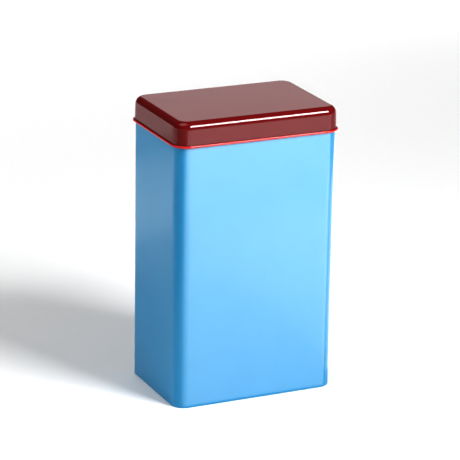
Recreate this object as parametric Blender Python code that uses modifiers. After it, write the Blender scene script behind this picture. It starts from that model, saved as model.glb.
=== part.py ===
"""Rectangular tinplate tin with rounded corners and a slip-on lid.

Origin: centre of the standing edge, on the floor. +Z up, X along the wide faces, Y along the narrow faces.
Every sheet-metal piece is the middle surface of its sheet, thickened by Solidify. That surface is a section
swept round a rounded rectangle. In a section, x is the distance outwards from the wall's outer face and
y is the height above the floor.
"""

import math

import bmesh
import bpy

# Driving dimensions, in metres
WIDTH = 0.1177  # the wall's outer faces, left to right
DEPTH = 0.0802  # the wall's outer faces, front to back
HEIGHT = 0.2000  # floor to the lid's top
CORNER_RADIUS = 0.0092  # vertical corners, outside
SHEET = 0.0003  # tinplate
GAP = 0.0003  # between pieces that touch on the real tin

# Lid
LID_EDGE_RADIUS = 0.0050  # outside radius between the top and the skirt
SKIRT_TOP_OFFSET = 0.00035  # the skirt's outer face stands this far out from the wall, at its top
SKIRT_FOOT_OFFSET = 0.00065  # and at its foot, because the drawn skirt has a slight draft
LID_CURL_HEIGHT = 0.1837  # centre of the outward curl
LID_CURL_DIAMETER = 0.0016

# Wall
NECK_FOOT = 0.1855  # the wall is set in above this height, under the lid's skirt
NECK_RISE = 0.0010
NECK_IN = 0.00035
MOUTH_HEIGHT = 0.1965  # top of the inward curl
MOUTH_CURL_DIAMETER = 0.0020
CURL_SWEEP = 270  # degrees that each curl turns through; the rest is its open gap

# Folded bottom edge, which holds the base's flange between the wall and the hook
HEM_BEND_RADIUS = 0.0005  # outside radius of its two bends
HOOK_HEIGHT = 0.0030
FLANGE_FOOT_HEIGHT = 0.0013
HEM_WIDTH = 3 * SHEET + 2 * GAP

# Base plate
PANEL_HEIGHT = 0.0042  # middle of the sheet, above the floor
PANEL_BEND_RADIUS = 0.0005
STEP_INSET = 0.0050  # from the wall to the raised middle of the plate
STEP_RISE = 0.0008
STEP_RADIUS = 0.0006

# Seal
SEAL_DIAMETER = 0.00045
SEAL_HEIGHT = 0.00075
SEAL_SIDES = 8

# Lock seam down the middle of the right-hand narrow face
SEAM_WIDTH = 0.0055
SEAM_THICKNESS = 4 * SHEET
SEAM_FOOT = 0.0060
SEAM_TOP = 0.1938
SEAM_LINE_WIDTH = 0.0003
SEAM_LINE_DEPTH = 0.0002

CORNER_STEPS = 6
BEND_STEPS = 3
EDGE_STEPS = 5
CURL_STEPS = 9
SMOOTH_BELOW = 40  # degrees between two faces that are shaded as one surface
WELD_DISTANCE = 0.00001

BLUE = (0.130, 0.430, 0.800, 1.0)
BURGUNDY = (0.160, 0.008, 0.010, 1.0)
SEAL_GREY = (0.240, 0.230, 0.210, 1.0)


def clear_scene():
    for old in list(bpy.data.objects):
        bpy.data.objects.remove(old, do_unlink=True)


def new_collection(name):
    made = bpy.data.collections.new(name)
    bpy.context.scene.collection.children.link(made)
    return made


def material(name, colour, roughness, metallic):
    made = bpy.data.materials.new(name)
    made.use_nodes = True
    shader = made.node_tree.nodes["Principled BSDF"]
    shader.inputs["Base Color"].default_value = colour
    shader.inputs["Roughness"].default_value = roughness
    shader.inputs["Metallic"].default_value = metallic
    made.diffuse_color = colour
    return made


def arc(centre, radius, start_deg, end_deg, steps):
    """Points along an arc, both ends included."""
    points = []
    for i in range(steps + 1):
        angle = math.radians(start_deg + (end_deg - start_deg) * i / steps)
        points.append((centre[0] + radius * math.cos(angle), centre[1] + radius * math.sin(angle)))
    return points


def rounded_rectangle(width, depth, radius):
    """Corner arcs joined by the straight sides."""
    points = []
    for quarter, (side_x, side_y) in enumerate(((1, 1), (-1, 1), (-1, -1), (1, -1))):
        centre = (side_x * (width / 2 - radius), side_y * (depth / 2 - radius))
        points += arc(centre, radius, 90 * quarter, 90 * quarter + 90, CORNER_STEPS)
    return points


def poly_curve(name, points, closed):
    curve = bpy.data.curves.new(name, "CURVE")
    curve.dimensions = "2D"
    curve.fill_mode = "NONE"
    spline = curve.splines.new("POLY")
    spline.points.add(len(points) - 1)
    for point, (x, y) in zip(spline.points, points):
        point.co = (x, y, 0, 1)
    spline.use_cyclic_u = closed
    made = bpy.data.objects.new(name, curve)
    bpy.context.scene.collection.objects.link(made)
    return made


def swept(name, section, section_closed=False):
    """The section carried round the wall's outline, as an object with a plain mesh."""
    path = poly_curve(name + "_path", rounded_rectangle(WIDTH, DEPTH, CORNER_RADIUS), True)
    inwards = [(-x, y) for x, y in section]  # a bevel object's x points into a closed path
    profile = poly_curve(name + "_section", inwards, section_closed)
    path.data.bevel_mode = "OBJECT"
    path.data.bevel_object = profile
    bpy.context.view_layer.update()
    graph = bpy.context.evaluated_depsgraph_get()
    mesh = bpy.data.meshes.new_from_object(path.evaluated_get(graph))
    mesh.name = name
    made = bpy.data.objects.new(name, mesh)
    for guide in (path, profile):
        bpy.data.objects.remove(guide, do_unlink=True)
    return made


def mend(obj, panel_height=None):
    """Welds the sweep, fills the flat panel inside it if it has one, and turns the faces outwards."""
    mesh = bmesh.new()
    mesh.from_mesh(obj.data)
    bmesh.ops.remove_doubles(mesh, verts=mesh.verts, dist=WELD_DISTANCE)
    if panel_height is not None:
        rim = [
            edge
            for edge in mesh.edges
            if edge.is_boundary and abs(edge.verts[0].co.z - panel_height) < WELD_DISTANCE
        ]
        bmesh.ops.contextual_create(mesh, geom=rim)
    bmesh.ops.recalc_face_normals(mesh, faces=mesh.faces)
    mesh.to_mesh(obj.data)
    mesh.free()


def sheet_metal(collection, name, section, panel_height, look):
    """A sheet of even thickness whose middle surface is the swept section."""
    made = swept(name, section)
    mend(made, panel_height)
    collection.objects.link(made)
    thicken = made.modifiers.new("sheet thickness", "SOLIDIFY")
    thicken.thickness = SHEET
    thicken.offset = 0
    thicken.use_even_offset = True
    thicken.use_quality_normals = True
    made.data.materials.append(look)
    made.data.shade_smooth()
    made.data.set_sharp_from_angle(angle=math.radians(SMOOTH_BELOW))
    return made


def wall_section():
    bend = HEM_BEND_RADIUS - SHEET / 2
    bend_height = SHEET / 2 + bend
    hook = -HEM_WIDTH + SHEET / 2
    wall = -SHEET / 2
    neck = wall - NECK_IN
    curl = MOUTH_CURL_DIAMETER / 2 - SHEET / 2
    curl_centre = (neck - curl, MOUTH_HEIGHT - MOUTH_CURL_DIAMETER / 2)
    points = [(hook, HOOK_HEIGHT)]
    points += arc((hook + bend, bend_height), bend, 180, 270, BEND_STEPS)
    points += arc((wall - bend, bend_height), bend, 270, 360, BEND_STEPS)
    points += [(wall, NECK_FOOT), (neck, NECK_FOOT + NECK_RISE)]
    points += arc(curl_centre, curl, 0, CURL_SWEEP, CURL_STEPS)
    return points


def lid_section():
    edge = LID_EDGE_RADIUS - SHEET / 2
    skirt_top = SKIRT_TOP_OFFSET - SHEET / 2
    skirt_foot = SKIRT_FOOT_OFFSET - SHEET / 2
    curl = LID_CURL_DIAMETER / 2 - SHEET / 2
    points = arc((skirt_top - edge, HEIGHT - LID_EDGE_RADIUS), edge, 90, 0, EDGE_STEPS)
    points += arc((skirt_foot + curl, LID_CURL_HEIGHT), curl, 180, 180 + CURL_SWEEP, CURL_STEPS)
    return points


def base_section():
    flange = -(SHEET + GAP + SHEET / 2)
    bend_centre = (flange - PANEL_BEND_RADIUS, PANEL_HEIGHT - PANEL_BEND_RADIUS)
    step_foot = (-STEP_INSET, PANEL_HEIGHT + STEP_RADIUS)
    points = [(flange, FLANGE_FOOT_HEIGHT)]
    points += arc(bend_centre, PANEL_BEND_RADIUS, 0, 90, BEND_STEPS)
    rise = math.acos(1 - STEP_RISE / (2 * STEP_RADIUS))
    turn = math.degrees(rise)
    points += arc(step_foot, STEP_RADIUS, -90, -90 - turn, BEND_STEPS)
    step_head = (
        -STEP_INSET - 2 * STEP_RADIUS * math.sin(rise),
        PANEL_HEIGHT + STEP_RISE - STEP_RADIUS,
    )
    points += arc(step_head, STEP_RADIUS, 90 - turn, 90, BEND_STEPS)[1:]
    return points


def helper_box(collection, name, low, high):
    """A box between two corners that only joins or cuts another object."""
    bpy.ops.mesh.primitive_cube_add(size=1)
    made = bpy.context.object
    made.name = name
    size = [high[k] - low[k] for k in range(3)]
    centre = [(high[k] + low[k]) / 2 for k in range(3)]
    for vertex in made.data.vertices:
        vertex.co = [centre[k] + vertex.co[k] * size[k] for k in range(3)]
    for holder in list(made.users_collection):
        holder.objects.unlink(made)
    collection.objects.link(made)
    made.hide_render = True
    made.display_type = "WIRE"
    return made


def join_or_cut(obj, helper, operation):
    step = obj.modifiers.new(helper.name, "BOOLEAN")
    step.operation = operation
    step.object = helper
    step.solver = "EXACT"


def add_lock_seam(wall, helpers):
    """Four layers of sheet pressed flat on the inside, and the fine line between them on the outside."""
    face = WIDTH / 2
    half = SEAM_WIDTH / 2
    neck_top = NECK_FOOT + NECK_RISE
    for name, foot, top, inset in (
        ("seam_layers", SEAM_FOOT, neck_top, 0),
        ("neck_seam_layers", NECK_FOOT, SEAM_TOP, NECK_IN),
    ):
        inner = face - inset - SEAM_THICKNESS
        outer = face - inset - SHEET / 2
        layers = helper_box(helpers, name, (inner, -half, foot), (outer, half, top))
        join_or_cut(wall, layers, "UNION")
    line_low = (face - SEAM_LINE_DEPTH, half - SEAM_LINE_WIDTH, SEAM_FOOT)
    line = helper_box(helpers, "seam_line", line_low, (face + SHEET, half, NECK_FOOT))
    join_or_cut(wall, line, "DIFFERENCE")


def make_wall(parts, helpers):
    blue = material("blue_lacquer", BLUE, 0.45, 0.0)
    wall = sheet_metal(parts, "body_wall", wall_section(), None, blue)
    add_lock_seam(wall, helpers)
    return wall


def make_base(parts):
    blue = material("base_lacquer", BLUE, 0.45, 0.0)
    return sheet_metal(parts, "base_panel", base_section(), PANEL_HEIGHT + STEP_RISE, blue)


def make_seal(parts):
    """A round bead of compound, laid all round under the base's flange."""
    centre = (-(SHEET + GAP + SHEET / 2), SEAL_HEIGHT)
    ring = arc(centre, SEAL_DIAMETER / 2, 0, 360, SEAL_SIDES)[:-1]
    seal = swept("base_seam_seal", ring, section_closed=True)
    mend(seal)
    parts.objects.link(seal)
    seal.data.materials.append(material("seal_compound", SEAL_GREY, 0.7, 0.0))
    seal.data.shade_smooth()
    return seal


def make_lid(parts):
    burgundy = material("burgundy_lacquer", BURGUNDY, 0.12, 0.0)
    return sheet_metal(parts, "lid_shell", lid_section(), HEIGHT - SHEET / 2, burgundy)


def main():
    clear_scene()
    parts = new_collection("powder_tin")
    helpers = new_collection("helpers")
    tin = bpy.data.objects.new("tin", None)
    lid_rest = bpy.data.objects.new("lid_lift", None)
    for empty in (tin, lid_rest):
        parts.objects.link(empty)
    lid_rest.parent = tin
    for piece in (make_wall(parts, helpers), make_base(parts), make_seal(parts)):
        piece.parent = tin
    make_lid(parts).parent = lid_rest


main()
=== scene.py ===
"""Studio picture of a rectangular tinplate tin with a slip-on lid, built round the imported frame."""
import math

import bpy
from mathutils import Matrix, Vector


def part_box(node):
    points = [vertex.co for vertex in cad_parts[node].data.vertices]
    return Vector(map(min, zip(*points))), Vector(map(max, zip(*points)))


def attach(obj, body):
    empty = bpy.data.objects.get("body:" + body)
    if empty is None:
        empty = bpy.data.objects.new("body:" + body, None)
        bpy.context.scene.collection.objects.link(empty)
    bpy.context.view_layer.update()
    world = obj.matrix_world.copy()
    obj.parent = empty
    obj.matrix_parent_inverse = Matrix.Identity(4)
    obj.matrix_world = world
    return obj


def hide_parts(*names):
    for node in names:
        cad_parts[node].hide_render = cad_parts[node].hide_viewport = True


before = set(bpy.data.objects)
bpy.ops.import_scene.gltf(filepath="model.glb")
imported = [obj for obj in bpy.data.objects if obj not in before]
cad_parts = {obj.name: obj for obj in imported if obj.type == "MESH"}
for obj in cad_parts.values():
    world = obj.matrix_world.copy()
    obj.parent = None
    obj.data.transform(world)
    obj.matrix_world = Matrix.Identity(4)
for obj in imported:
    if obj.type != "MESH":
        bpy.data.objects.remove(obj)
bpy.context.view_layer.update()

MM = 0.001

# ---------------------------------------------------------------- dimensions, in metres
WALL_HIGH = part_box("body_wall")[1]
HALF_WIDTH = WALL_HIGH.x
HALF_DEPTH = WALL_HIGH.y
MOUTH_HEIGHT = WALL_HIGH.z
LID_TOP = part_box("lid_shell")[1].z
MIDDLE = Vector((0, 0, LID_TOP / 2))

SHEET = 0.30 * MM
EDGE_REACH = 0.30 * SHEET  # how far the rounded end of a sheet stands past its middle line
EDGE_HALF = 0.28 * SHEET  # half the width of the flat at that end
CORNER_RADIUS = 9.2 * MM
LEAST_RADIUS = 1.5 * MM  # of the corners of the rings that fill a flat panel
INNERMOST_RING = -HALF_DEPTH + 5.0 * MM  # where those rings stop
SIDE_HALF = HALF_DEPTH - CORNER_RADIUS

LID_EDGE_RADIUS = 5.0 * MM
SKIRT_TOP_OFFSET = 0.35 * MM
SKIRT_FOOT_OFFSET = 0.65 * MM
LID_CURL_DIAMETER = 1.6 * MM
LID_CURL_HEIGHT = 183.7 * MM
LID_CROWN = 0.12 * MM
LID_CLEARANCE = 0.01 * MM  # keeps the crown just under the lid's full height

NECK_FOOT = 185.5 * MM
NECK_RISE = 1.0 * MM
NECK_IN = 0.35 * MM
MOUTH_CURL_DIAMETER = 2.0 * MM
CURL_SWEEP = 270

HEM_BEND_RADIUS = 0.5 * MM
HEM_WIDTH = 1.5 * MM
HOOK_HEIGHT = 3.0 * MM

FLANGE_OFFSET = -0.75 * MM
FLANGE_FOOT = 1.3 * MM
PANEL_HEIGHT = 4.2 * MM
PANEL_BEND_RADIUS = 0.5 * MM
STEP_INSET = 5.0 * MM
STEP_RISE = 0.8 * MM
STEP_RADIUS = 0.6 * MM
BASE_SAG = 0.15 * MM
SEAL_GAP = 0.3 * MM
SEAL_FILL = 0.98  # of the radius of the space for the compound

SEAM_HALF = 2.75 * MM
SEAM_SET_IN = 0.09 * MM
SEAM_LINE_DEPTH = 0.16 * MM
SEAM_LINE_HALF = 0.22 * MM
SEAM_RAMP = 0.6 * MM
SEAM_REACH = 1.0 * MM  # the set-in goes this deep behind the +X face
SEAM_TOP = NECK_FOOT + 4 * NECK_RISE

CORNER_STEPS = 20
LONG_SIDE_STEPS = 18
SHORT_SIDE_STEPS = 12
LEAST_SPACING = 1.0 * MM  # between an even point along a side and a point of the seam
WALL_STEPS = 26
NECK_STEPS = 8
NECK_LINE_STEPS = 3
SKIRT_STEPS = 6
SHORT_LINE_STEPS = 4
BEND_STEPS = 8
LID_EDGE_STEPS = 24
CURL_STEPS = 30
SEAL_STEPS = 12
PANEL_RINGS = 14
PANEL_CROWDING = 1.5  # above 1, the rings of a flat panel lie closer together near its rim


# ---------------------------------------------------------------- shapes
def arc(centre, radius, start, end, steps):
    """Points of an arc in a section, both ends included. Angles are in degrees."""
    angles = [math.radians(start + (end - start) * i / steps) for i in range(steps + 1)]
    return [(centre[0] + radius * math.cos(a), centre[1] + radius * math.sin(a)) for a in angles]


def line(start, end, steps):
    """Points between two ends, with neither end."""
    shares = [i / steps for i in range(1, steps)]
    return [tuple(start[k] + (end[k] - start[k]) * s for k in (0, 1)) for s in shares]


def offset(points, distance):
    """The line moved sideways, to its left for a positive distance."""
    moved = []
    for i, point in enumerate(points):
        before = points[max(i - 1, 0)]
        after = points[min(i + 1, len(points) - 1)]
        dx, dy = after[0] - before[0], after[1] - before[1]
        length = math.hypot(dx, dy)
        moved.append((point[0] - dy / length * distance, point[1] + dx / length * distance))
    return moved


def side(start, end, steps, extra=()):
    """Distances along a straight side, with a few extra ones where the sheet has detail."""
    even = [start + (end - start) * i / steps for i in range(1, steps)]
    clear = [e for e in even if all(abs(e - x) > LEAST_SPACING for x in extra)]
    return sorted(clear + list(extra), reverse=end < start)


def seam_detail():
    """Places across the side seam where its outside needs points."""
    places = [-SEAM_HALF - SEAM_RAMP, -SEAM_HALF, 0.0]
    places += [SEAM_HALF - SEAM_LINE_HALF, SEAM_HALF, SEAM_HALF + SEAM_LINE_HALF]
    return places + [SEAM_HALF + SEAM_RAMP]


def ring(out):
    """The wall's outline moved outwards by out, counter-clockwise from the +X side's far corner."""
    radius = max(CORNER_RADIUS + out, LEAST_RADIUS)
    cx = HALF_WIDTH + out - radius
    cy = HALF_DEPTH + out - radius
    points = []
    for quarter, (sx, sy) in enumerate(((1, 1), (-1, 1), (-1, -1), (1, -1))):
        points += arc((sx * cx, sy * cy), radius, 90 * quarter, 90 * quarter + 90, CORNER_STEPS)
        if quarter == 0:
            points += [(x, cy + radius) for x in side(cx, -cx, LONG_SIDE_STEPS)]
        elif quarter == 1:
            points += [(-cx - radius, y) for y in side(cy, -cy, SHORT_SIDE_STEPS)]
        elif quarter == 2:
            points += [(x, -cy - radius) for x in side(-cx, cx, LONG_SIDE_STEPS)]
        else:
            places = side(-SIDE_HALF, SIDE_HALF, SHORT_SIDE_STEPS, seam_detail())
            points += [(cx + radius, y * cy / SIDE_HALF) for y in places]
    return points


def new_object(name, verts, faces, looks, indices):
    """A smooth-shaded mesh object. indices gives the look of each face."""
    mesh = bpy.data.meshes.new(name)
    mesh.from_pydata([tuple(v) for v in verts], [], faces)
    for look in looks:
        mesh.materials.append(look)
    mesh.polygons.foreach_set("material_index", indices)
    mesh.validate()
    mesh.shade_smooth()
    made = bpy.data.objects.new(name, mesh)
    bpy.context.scene.collection.objects.link(made)
    return made


def loft(name, section, bands, looks, closed, shape=None):
    """A section carried round the outline. bands gives the look of each stretch of the section.

    A closed section makes a ring; an open one is filled at both ends with a flat panel.
    shape moves each point of the result.
    """
    verts, faces, indices = [], [], []
    for out, height in section:
        verts += [Vector((x, y, height)) for x, y in ring(out)]
    count = len(ring(0.0))
    rows = len(section)
    for row in range(rows if closed else rows - 1):
        low, high = row * count, (row + 1) % rows * count
        for i in range(count):
            j = (i + 1) % count
            faces.append((low + i, low + j, high + j, high + i))
            indices.append(bands[row])
    if not closed:
        faces.append(tuple(range(count - 1, -1, -1)))
        faces.append(tuple((rows - 1) * count + i for i in range(count)))
        indices += [bands[0], bands[-1]]
    if shape:
        verts = [shape(v) for v in verts]
    return new_object(name, verts, faces, looks, indices)


def two_sided(centre_line, closed):
    """The outline of a sheet from its middle line, and the look of each stretch of it.

    Look 0 is for the side left of the line, 1 for its right side and 2 for the ends.
    """
    outside = offset(centre_line, SHEET / 2)
    inside = offset(centre_line, -SHEET / 2)[::-1]
    tip = rounded_end(centre_line[-2], centre_line[-1])
    points = outside + tip + inside
    bands = [0] * (len(outside) - 1) + [2] * (len(tip) + 1) + [1] * (len(inside) - 1)
    if closed:
        heel = rounded_end(centre_line[1], centre_line[0])
        points += heel
        bands += [2] * (len(heel) + 1)
    return points, bands


def rounded_end(before, last):
    """The two points that round off the end of a sheet."""
    dx, dy = last[0] - before[0], last[1] - before[1]
    length = math.hypot(dx, dy)
    ux, uy = dx / length, dy / length
    x, y = last[0] + ux * EDGE_REACH, last[1] + uy * EDGE_REACH
    return [(x - uy * EDGE_HALF, y + ux * EDGE_HALF), (x + uy * EDGE_HALF, y - ux * EDGE_HALF)]


def panel_line(rim, height, crown):
    """Rings that fill a flat panel from its rim inwards. The middle is higher by crown."""
    points = []
    for i in range(1, PANEL_RINGS + 1):
        share = (i / PANEL_RINGS) ** PANEL_CROWDING
        out = rim + (INNERMOST_RING - rim) * share
        points.append((out, height + crown * math.sin(share * math.pi / 2)))
    return points


# ---------------------------------------------------------------- sections
# Each is the middle line of a sheet: (distance out from the wall's outer face, height).
def wall_line():
    """From the mouth curl down the wall, round the folded bottom edge and up its hook."""
    bend = HEM_BEND_RADIUS - SHEET / 2
    bend_height = SHEET / 2 + bend
    hook = -HEM_WIDTH + SHEET / 2
    wall = -SHEET / 2
    neck = wall - NECK_IN
    curl = MOUTH_CURL_DIAMETER / 2 - SHEET / 2
    curl_centre = (neck - curl, MOUTH_HEIGHT - MOUTH_CURL_DIAMETER / 2)
    points = [(hook, HOOK_HEIGHT)] + line((hook, HOOK_HEIGHT), (hook, bend_height), SHORT_LINE_STEPS)
    points += arc((hook + bend, bend_height), bend, 180, 270, BEND_STEPS)
    points += arc((wall - bend, bend_height), bend, 270, 360, BEND_STEPS)
    points += line((wall, bend_height), (wall, NECK_FOOT), WALL_STEPS)
    for i in range(NECK_STEPS + 1):
        share = i / NECK_STEPS
        ease = share * share * (3 - 2 * share)
        points.append((wall - NECK_IN * ease, NECK_FOOT + NECK_RISE * share))
    points += line(points[-1], (neck, curl_centre[1]), NECK_LINE_STEPS)
    points += arc(curl_centre, curl, 0, CURL_SWEEP, CURL_STEPS)
    return points[::-1]


def lid_line():
    """From the middle of the top over the rounded edge, down the skirt and round the outward curl."""
    edge = LID_EDGE_RADIUS - SHEET / 2
    skirt_top = SKIRT_TOP_OFFSET - SHEET / 2
    skirt_foot = SKIRT_FOOT_OFFSET - SHEET / 2
    curl = LID_CURL_DIAMETER / 2 - SHEET / 2
    height = LID_TOP - SHEET / 2 - LID_CROWN - LID_CLEARANCE
    rim = skirt_top - edge
    points = panel_line(rim, height, LID_CROWN)[::-1]
    points += arc((rim, height - edge), edge, 90, 0, LID_EDGE_STEPS)
    points += line((skirt_top, height - edge), (skirt_foot, LID_CURL_HEIGHT), SKIRT_STEPS)
    points += arc((skirt_foot + curl, LID_CURL_HEIGHT), curl, 180, 180 + CURL_SWEEP, CURL_STEPS)
    return points


def base_line():
    """From the middle of the base over its step, and down the flange at its rim."""
    bend_centre = (FLANGE_OFFSET - PANEL_BEND_RADIUS, PANEL_HEIGHT - PANEL_BEND_RADIUS)
    rise = math.acos(1 - STEP_RISE / (2 * STEP_RADIUS))
    turn = math.degrees(rise)
    step_head = -STEP_INSET - 2 * STEP_RADIUS * math.sin(rise)
    top = PANEL_HEIGHT + STEP_RISE
    foot = (FLANGE_OFFSET, FLANGE_FOOT)
    points = [foot] + line(foot, (FLANGE_OFFSET, bend_centre[1]), SHORT_LINE_STEPS)
    points += arc(bend_centre, PANEL_BEND_RADIUS, 0, 90, BEND_STEPS)
    points += line(points[-1], (-STEP_INSET, PANEL_HEIGHT), SHORT_LINE_STEPS)
    points += arc((-STEP_INSET, PANEL_HEIGHT + STEP_RADIUS), STEP_RADIUS, -90, -90 - turn, BEND_STEPS)
    points += arc((step_head, top - STEP_RADIUS), STEP_RADIUS, 90 - turn, 90, BEND_STEPS)[1:]
    points += panel_line(step_head, top, -BASE_SAG)
    return points[::-1]


# ---------------------------------------------------------------- pieces
# Looks are in the order: left of the sheet's middle line, right of it, cut edge.
def set_in_seam(v):
    """Sets the sheet in a little along the side seam, with a fine line along one edge of it."""
    if v.x < HALF_WIDTH - SEAM_REACH or v.z > SEAM_TOP:
        return v
    past = max(abs(v.y) - SEAM_HALF, 0.0)
    depth = SEAM_SET_IN * max(1 - past / SEAM_RAMP, 0.0)
    depth += SEAM_LINE_DEPTH * max(1 - abs(v.y - SEAM_HALF) / SEAM_LINE_HALF, 0.0)
    return Vector((v.x - depth, v.y, v.z))


def make_wall(looks):
    section, bands = two_sided(wall_line(), True)
    wall = loft("wall", section, bands, looks, True, set_in_seam)
    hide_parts("body_wall")
    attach(wall, "tin")


def make_base(looks):
    section, bands = two_sided(base_line(), False)
    base = loft("base", section, bands, looks, False)
    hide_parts("base_panel")
    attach(base, "tin")


def make_lid(looks):
    section, bands = two_sided(lid_line(), False)
    lid = loft("lid", section, bands, looks, False)
    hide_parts("lid_shell")
    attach(lid, "lid")


def make_seam_compound(look):
    """The bead of sealing compound in the fold between the base and the wall."""
    low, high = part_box("base_seam_seal")
    radius = (high.z - low.z) / 2
    centre = (-SHEET - SEAL_GAP - SHEET / 2, (high.z + low.z) / 2)
    section = arc(centre, radius * SEAL_FILL, 0, 360, SEAL_STEPS)[:-1]
    bead = loft("seam_compound", section, [0] * len(section), [look], True)
    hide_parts("base_seam_seal")
    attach(bead, "tin")


# ---------------------------------------------------------------- materials
NOISE_LOW, NOISE_HIGH = 0.3, 0.7  # nearly all of a noise lies between these
WAVE_SCALE, PATCH_SCALE, PEEL_SCALE, FINE_SCALE = 14, 38, 420, 900  # of noises in the lacquer, per metre
DRAG_SCALE, COMPOUND_SCALE, PAPER_SCALE = 300, 700, 160


def new_material(name):
    """A material with its nodes, its links and its shader."""
    made = bpy.data.materials.new(name)
    made.use_nodes = True
    nodes = made.node_tree.nodes
    return made, nodes, made.node_tree.links, nodes["Principled BSDF"]


def noise(nodes, links, scale, detail, stretch=(1, 1, 1)):
    """Noise held to the object, so that it stays put as the object moves."""
    where = nodes.new("ShaderNodeTexCoord")
    mapping = nodes.new("ShaderNodeMapping")
    mapping.inputs["Scale"].default_value = stretch
    made = nodes.new("ShaderNodeTexNoise")
    made.inputs["Scale"].default_value = scale
    made.inputs["Detail"].default_value = detail
    links.new(where.outputs["Object"], mapping.inputs["Vector"])
    links.new(mapping.outputs["Vector"], made.inputs["Vector"])
    return made.outputs["Fac"]


def map_range(nodes, links, value, start, end, low, high):
    """value between start and end, carried to low..high."""
    made = nodes.new("ShaderNodeMapRange")
    for socket, number in (("From Min", start), ("From Max", end), ("To Min", low), ("To Max", high)):
        made.inputs[socket].default_value = number
    links.new(value, made.inputs["Value"])
    return made


def uneven(nodes, links, value, low, high):
    """A noise carried to low..high."""
    return map_range(nodes, links, value, NOISE_LOW, NOISE_HIGH, low, high).outputs["Result"]


def tint(nodes, links, value, stops):
    """A colour ramp over value: stops are (place, colour)."""
    ramp = nodes.new("ShaderNodeValToRGB")
    while len(ramp.color_ramp.elements) < len(stops):
        ramp.color_ramp.elements.new(0.5)
    for stop, (place, colour) in zip(ramp.color_ramp.elements, stops):
        stop.position = place
        stop.color = (*colour, 1)
    links.new(value, ramp.inputs["Fac"])
    return ramp.outputs["Color"]


def grey(strength):
    return (strength, strength, strength)


def bump(nodes, links, shader, *layers):
    """Bumps on top of each other. Each layer is (height socket, strength, distance)."""
    below = None
    for height, strength, distance in layers:
        made = nodes.new("ShaderNodeBump")
        made.inputs["Strength"].default_value = strength
        made.inputs["Distance"].default_value = distance
        links.new(height, made.inputs["Height"])
        if below:
            links.new(below, made.inputs["Normal"])
        below = made.outputs["Normal"]
    links.new(below, shader.inputs["Normal"])


def lacquer(name, colour, deeper, roughness, waviness, ior=1.5):
    """Lacquer on tinplate: a little orange peel, slow waves in the sheet and uneven gloss."""
    made, nodes, links, shader = new_material(name)
    patches = noise(nodes, links, PATCH_SCALE, 3)
    fine = noise(nodes, links, FINE_SCALE, 4)
    coat = tint(nodes, links, patches, ((0.35, deeper), (0.65, colour)))
    links.new(coat, shader.inputs["Base Color"])
    gloss = uneven(nodes, links, fine, roughness * 0.9, roughness * 1.12)
    links.new(gloss, shader.inputs["Roughness"])
    shader.inputs["IOR"].default_value = ior
    peel = noise(nodes, links, PEEL_SCALE, 2)
    waves = noise(nodes, links, WAVE_SCALE, 1, (1, 1, 0.5))
    bump(nodes, links, shader, (waves, waviness, 2 * MM), (peel, 0.05, 0.05 * MM))
    return made


def bare_tin(name):
    """The cut edge of the sheet: bright tin with fine drag marks."""
    made, nodes, links, shader = new_material(name)
    marks = noise(nodes, links, DRAG_SCALE, 3, (1, 1, 12))
    stops = ((NOISE_LOW, (0.42, 0.41, 0.40)), (NOISE_HIGH, (0.62, 0.61, 0.59)))
    links.new(tint(nodes, links, marks, stops), shader.inputs["Base Color"])
    shader.inputs["Metallic"].default_value = 1.0
    links.new(uneven(nodes, links, marks, 0.22, 0.42), shader.inputs["Roughness"])
    bump(nodes, links, shader, (marks, 0.15, 0.05 * MM))
    return made


def compound(name):
    """Cured sealing compound: matt, dark grey and a little grainy."""
    made, nodes, links, shader = new_material(name)
    grain = noise(nodes, links, COMPOUND_SCALE, 3)
    stops = ((NOISE_LOW, (0.17, 0.16, 0.15)), (NOISE_HIGH, (0.26, 0.25, 0.23)))
    links.new(tint(nodes, links, grain, stops), shader.inputs["Base Color"])
    links.new(uneven(nodes, links, grain, 0.55, 0.75), shader.inputs["Roughness"])
    bump(nodes, links, shader, (grain, 0.3, 0.1 * MM))
    return made


# ---------------------------------------------------------------- studio
FLOOR_HALF = 6.0
GLOW_START, GLOW_FULL, GLOW = 0.9, 2.4, 0.85
CARD_LIFT = 1.0 * MM

FRONT_CARD_STRENGTH = 7.6
FRONT_CARD_LEFT, FRONT_CARD_RIGHT, FRONT_CARD_TOP = -0.062, 0.066, 0.1818
FRONT_CARD_GAP = 3.0 * MM  # to the front face
FRONT_CARD_SHIFT = 0.07  # makes every distance across the card positive
FRONT_CARD_UP = ((0.0, 0.49), (0.09, 0.70), (0.15, 0.79), (0.18, 0.80))
FRONT_CARD_UP_REACH = 0.2
FRONT_CARD_ACROSS = (
    (0.0095, 0.0), (0.0125, 0.12), (0.0151, 0.28), (0.0172, 0.37), (0.0191, 0.45),
    (0.0211, 0.56), (0.024, 0.62), (0.121, 0.62), (0.125, 0.9),
)
FRONT_CARD_ACROSS_REACH = 0.16

SEEN_WORLD, UNSEEN_WORLD = 1.3, 0.06

CAMERA_AZIMUTH, CAMERA_ELEVATION, CAMERA_ROLL = -24.94, 18.27, 0.964
CAMERA_DISTANCE, CAMERA_LEFT, CAMERA_UP = 1.7701, 0.00205, 0.00778
CAMERA_LENS = 202.5  # mm, on a sensor 36 mm wide


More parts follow.
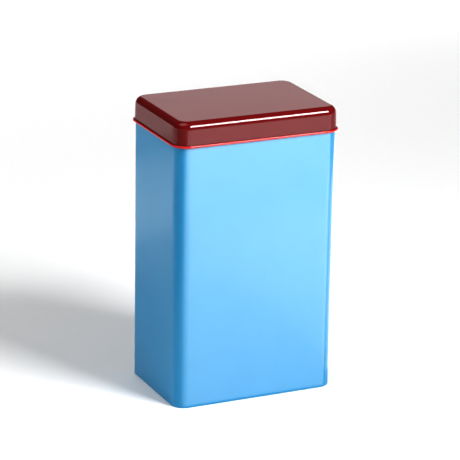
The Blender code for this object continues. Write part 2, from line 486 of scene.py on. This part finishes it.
def paper():
    """Pale paper. Far from the tin it gives a little light of its own."""
    made, nodes, links, shader = new_material("paper")
    grain = noise(nodes, links, PAPER_SCALE, 3)
    stops = ((NOISE_LOW, grey(0.895)), (NOISE_HIGH, grey(0.905)))
    links.new(tint(nodes, links, grain, stops), shader.inputs["Base Color"])
    shader.inputs["Roughness"].default_value = 0.95
    shader.inputs["Specular IOR Level"].default_value = 0.0
    where = nodes.new("ShaderNodeTexCoord")
    away = nodes.new("ShaderNodeVectorMath")
    away.operation = "LENGTH"
    links.new(where.outputs["Object"], away.inputs[0])
    glow = map_range(nodes, links, away.outputs["Value"], GLOW_START, GLOW_FULL, 0.0, GLOW)
    glow.interpolation_type = "SMOOTHSTEP"
    links.new(glow.outputs["Result"], shader.inputs["Emission Strength"])
    shader.inputs["Emission Color"].default_value = (1, 1, 1, 1)
    return made


def make_floor():
    corners = [(x * FLOOR_HALF, y * FLOOR_HALF, 0) for x, y in ((-1, -1), (1, -1), (1, 1), (-1, 1))]
    floor = new_object("floor", corners, [(0, 1, 2, 3)], [paper()], [0])


def panel(name, place, aim, size, light_given, spread=180, in_gloss=True):
    """A flat lamp at place, turned to aim.

    light_given is the radiance of its surface, and spread is in degrees.
    """
    light = bpy.data.lights.new(name, "AREA")
    light.shape = "RECTANGLE"
    light.size, light.size_y = size
    light.energy = light_given * math.pi * size[0] * size[1]
    light.spread = math.radians(spread)
    lamp = bpy.data.objects.new(name, light)
    lamp.location = place
    lamp.rotation_euler = (Vector(place) - Vector(aim)).to_track_quat("Z", "Y").to_euler()
    lamp.visible_camera = False
    lamp.visible_glossy = in_gloss
    bpy.context.scene.collection.objects.link(lamp)
    return lamp


def direction(azimuth, elevation):
    """Azimuth goes from -Y towards +X; both angles are in degrees."""
    a, e = math.radians(azimuth), math.radians(elevation)
    return Vector((math.sin(a) * math.cos(e), -math.cos(a) * math.cos(e), math.sin(e)))


def around(azimuth, elevation, distance):
    """A place seen from the tin's middle."""
    return MIDDLE + direction(azimuth, elevation) * distance


def make_lights():
    panel("key", around(28.7, 40.5, 1.26), MIDDLE, (0.465, 0.44), 13.5, spread=140)
    panel("overhead", around(-90, 72, 1.8), MIDDLE, (1.1, 1.3), 1.65)
    panel("back", around(155.2, 18.5, 2.2), MIDDLE, (1.0, 0.6), 0.62)
    panel("left fill", around(-90, 20, 1.2), MIDDLE, (0.6, 0.6), 2.3, in_gloss=False)
    panel("backdrop", (0.5, 1.5, 0.8), (0.5, 1.5, 0), (2.4, 1.2), 1.25, in_gloss=False)


def ramp_over(nodes, links, where, along, reach, stops):
    """Strength by the distance along a direction: stops are (distance, strength), up to reach."""
    apart = nodes.new("ShaderNodeVectorMath")
    apart.operation = "DOT_PRODUCT"
    apart.inputs[1].default_value = [v / reach for v in along]
    links.new(where, apart.inputs[0])
    shares = [(place / reach, grey(strength)) for place, strength in stops]
    return tint(nodes, links, apart.outputs["Value"], shares)


def reflector_look(name, along, stops):
    """Gives light by the distance, in metres, from the tin: stops are (distance, strength)."""
    made, nodes, links, shader = new_material(name)
    nodes.remove(shader)
    most = max(strength for place, strength in stops)
    where = nodes.new("ShaderNodeTexCoord").outputs["Object"]
    shares = [(place, strength / most) for place, strength in stops]
    glow = nodes.new("ShaderNodeEmission")
    glow.inputs["Strength"].default_value = most
    links.new(ramp_over(nodes, links, where, along, stops[-1][0], shares), glow.inputs["Color"])
    links.new(glow.outputs["Emission"], nodes["Material Output"].inputs["Surface"])
    return made


def make_card(name, corners, along, stops):
    """A card lying on the floor, seen only in reflections."""
    look = reflector_look(name, along, stops)
    face = tuple(range(len(corners)))
    card = new_object(name, [(x, y, CARD_LIFT) for x, y in corners], [face], [look], [0])
    card.visible_camera = False
    card.visible_diffuse = False
    card.visible_shadow = False


def make_front_card():
    """A card standing close to the front face, seen only in reflections, dimmer at its foot and left."""
    width = FRONT_CARD_RIGHT - FRONT_CARD_LEFT
    centre_x = (FRONT_CARD_LEFT + FRONT_CARD_RIGHT) / 2
    place = Vector((centre_x, -HALF_DEPTH - FRONT_CARD_GAP, FRONT_CARD_TOP / 2))
    aim = place + Vector((0, 1, 0))
    lamp = panel("front card", place, aim, (width, FRONT_CARD_TOP), FRONT_CARD_STRENGTH, spread=130)
    lamp.visible_diffuse = False
    lamp.data.use_nodes = True
    nodes, links = lamp.data.node_tree.nodes, lamp.data.node_tree.links
    where = nodes.new("ShaderNodeNewGeometry").outputs["Position"]
    up = ramp_over(nodes, links, where, (0, 0, 1), FRONT_CARD_UP_REACH, FRONT_CARD_UP)
    shifted = nodes.new("ShaderNodeVectorMath")
    shifted.operation = "ADD"
    shifted.inputs[1].default_value = (FRONT_CARD_SHIFT, 0, 0)
    links.new(where, shifted.inputs[0])
    from_left = shifted.outputs["Vector"]
    across = ramp_over(nodes, links, from_left, (1, 0, 0), FRONT_CARD_ACROSS_REACH, FRONT_CARD_ACROSS)
    both = nodes.new("ShaderNodeVectorMath")
    both.operation = "MULTIPLY"
    links.new(up, both.inputs[0])
    links.new(across, both.inputs[1])
    links.new(both.outputs["Vector"], nodes["Emission"].inputs["Color"])


def make_cards():
    """The standing card, then those on the floor: corners, direction of the strength, and the strength."""
    make_front_card()
    right = ((0.08, 1.5), (0.2, 2.5), (0.53, 2.7), (0.55, 1.2))
    far = ((0.45, 1.0), (0.55, 2.0), (0.9, 2.0))
    left = ((0.30, 0.80), (0.34, 0.96), (0.40, 0.96), (0.47, 0.85), (0.505, 0.85))
    left += ((0.515, 0.5), (0.62, 0.5))
    dark = ((0.2, 0.8), (0.32, 0.4), (1.5, 0.3))
    make_card("right card", ((0.08, -0.4), (0.55, -0.4), (0.55, 0.4), (0.08, 0.4)), (1, 0, 0), right)
    make_card("far card", ((-0.2, -0.45), (-0.2, -0.9), (0.9, -0.9), (0.9, -0.45)), (0, -1, 0), far)
    make_card("left card", ((-0.5, 0.3), (-0.05, 0.3), (-0.05, 0.62), (-0.5, 0.62)), (0, 1, 0), left)
    outline = ((-0.2, 0.05), (-0.2, -0.30), (-0.45, -0.9), (-1.5, -0.9), (-1.5, 0.05))
    make_card("dark card", outline, (-1, 0, 0), dark)


def make_world():
    """White where the camera looks past the floor, and nearly dark to everything else."""
    world = bpy.data.worlds.new("studio")
    bpy.context.scene.world = world
    world.use_nodes = True
    nodes, links = world.node_tree.nodes, world.node_tree.links
    seen = nodes["Background"]
    unseen = nodes.new("ShaderNodeBackground")
    for background, strength in ((seen, SEEN_WORLD), (unseen, UNSEEN_WORLD)):
        background.inputs["Color"].default_value = (1, 1, 1, 1)
        background.inputs["Strength"].default_value = strength
    path = nodes.new("ShaderNodeLightPath")
    mix = nodes.new("ShaderNodeMixShader")
    links.new(path.outputs["Is Camera Ray"], mix.inputs["Fac"])
    links.new(unseen.outputs["Background"], mix.inputs[1])
    links.new(seen.outputs["Background"], mix.inputs[2])
    links.new(mix.outputs["Shader"], nodes["World Output"].inputs["Surface"])


def make_camera():
    azimuth, roll = math.radians(CAMERA_AZIMUTH), math.radians(CAMERA_ROLL)
    back = direction(CAMERA_AZIMUTH, CAMERA_ELEVATION)
    level = Vector((math.cos(azimuth), math.sin(azimuth), 0))
    upright = back.cross(level)
    right = level * math.cos(roll) + upright * math.sin(roll)
    up = upright * math.cos(roll) - level * math.sin(roll)
    camera = bpy.data.cameras.new("camera")
    camera.sensor_width = 36
    camera.lens = CAMERA_LENS
    camera.clip_start = 0.1
    camera.clip_end = 50
    seen_from = bpy.data.objects.new("camera", camera)
    place = MIDDLE + back * CAMERA_DISTANCE - right * CAMERA_LEFT + up * CAMERA_UP
    axes = Matrix((right, up, back)).transposed().to_4x4()
    seen_from.matrix_world = Matrix.Translation(place) @ axes
    bpy.context.scene.collection.objects.link(seen_from)
    bpy.context.scene.camera = seen_from


# ---------------------------------------------------------------- the picture
BLUE = (0.030, 0.266, 0.500)
BLUE_DEEP = (0.028, 0.258, 0.490)
BURGUNDY = (0.156, 0.0075, 0.0085)
BURGUNDY_DEEP = (0.147, 0.0068, 0.0077)
RED = (0.560, 0.018, 0.022)
RED_DEEP = (0.520, 0.015, 0.019)

blue = lacquer("blue lacquer", BLUE, BLUE_DEEP, 0.15, 0.03, 1.42)
burgundy = lacquer("burgundy lacquer", BURGUNDY, BURGUNDY_DEEP, 0.06, 0.02, 1.46)
red = lacquer("red lacquer", RED, RED_DEEP, 0.16, 0.02)
tin = bare_tin("bare tin")

make_wall([blue, red, tin])
make_base([red, blue, tin])
make_lid([burgundy, red, tin])
make_seam_compound(compound("seam compound"))

make_floor()
make_lights()
make_cards()
make_world()
make_camera()
bpy.context.scene.view_settings.view_transform = "Standard"
bpy.context.scene.view_settings.look = "High Contrast"
